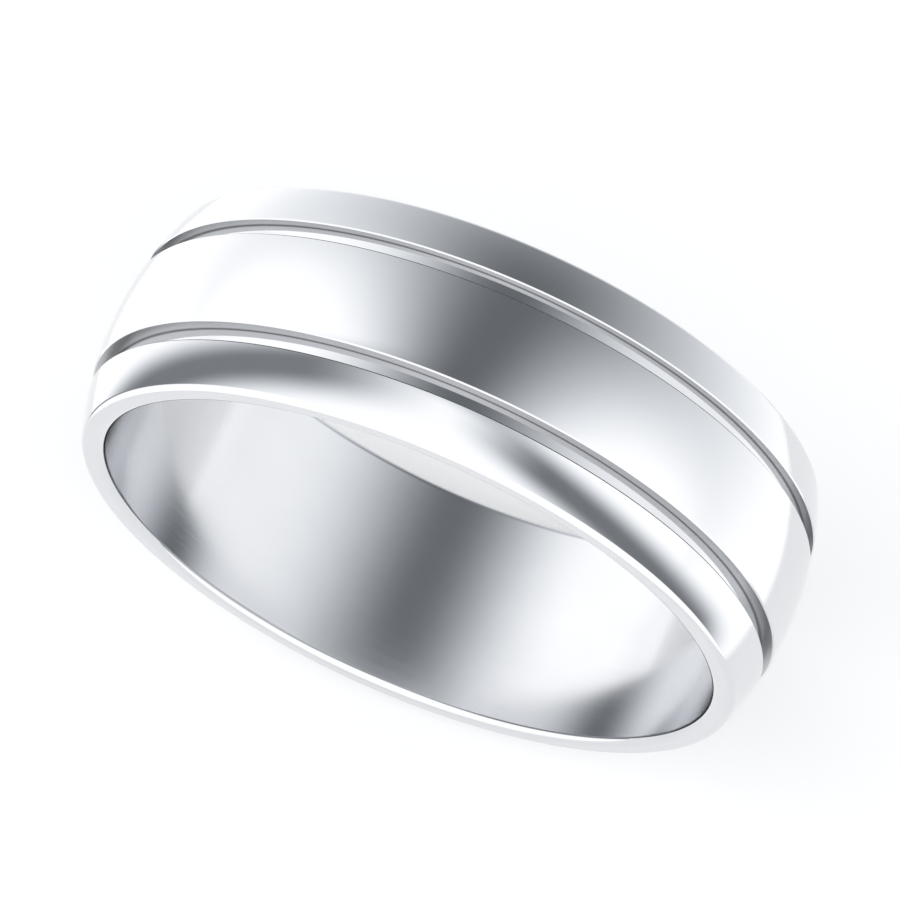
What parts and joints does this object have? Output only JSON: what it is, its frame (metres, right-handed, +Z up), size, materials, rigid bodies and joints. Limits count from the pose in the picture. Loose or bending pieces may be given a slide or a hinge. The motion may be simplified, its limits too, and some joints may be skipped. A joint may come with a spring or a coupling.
{
  "type": "wedding band",
  "caption": "Plain finger ring of polished white metal with a domed outside and narrow turned grooves that frame a raised middle.",
  "frame": {"origin": "centre of the finger hole, halfway across the band's width", "axes": "+Y along the finger hole, away from the side that the picture shows; +Z up, with the band standing on its edge; +X across the finger hole"},
  "size_m": [0.022, 0.007, 0.022],
  "materials": {
    "band": "mirror polish"
  },
  "bodies": {
    "root": {"band": "band"}
  },
  "joints": []
}
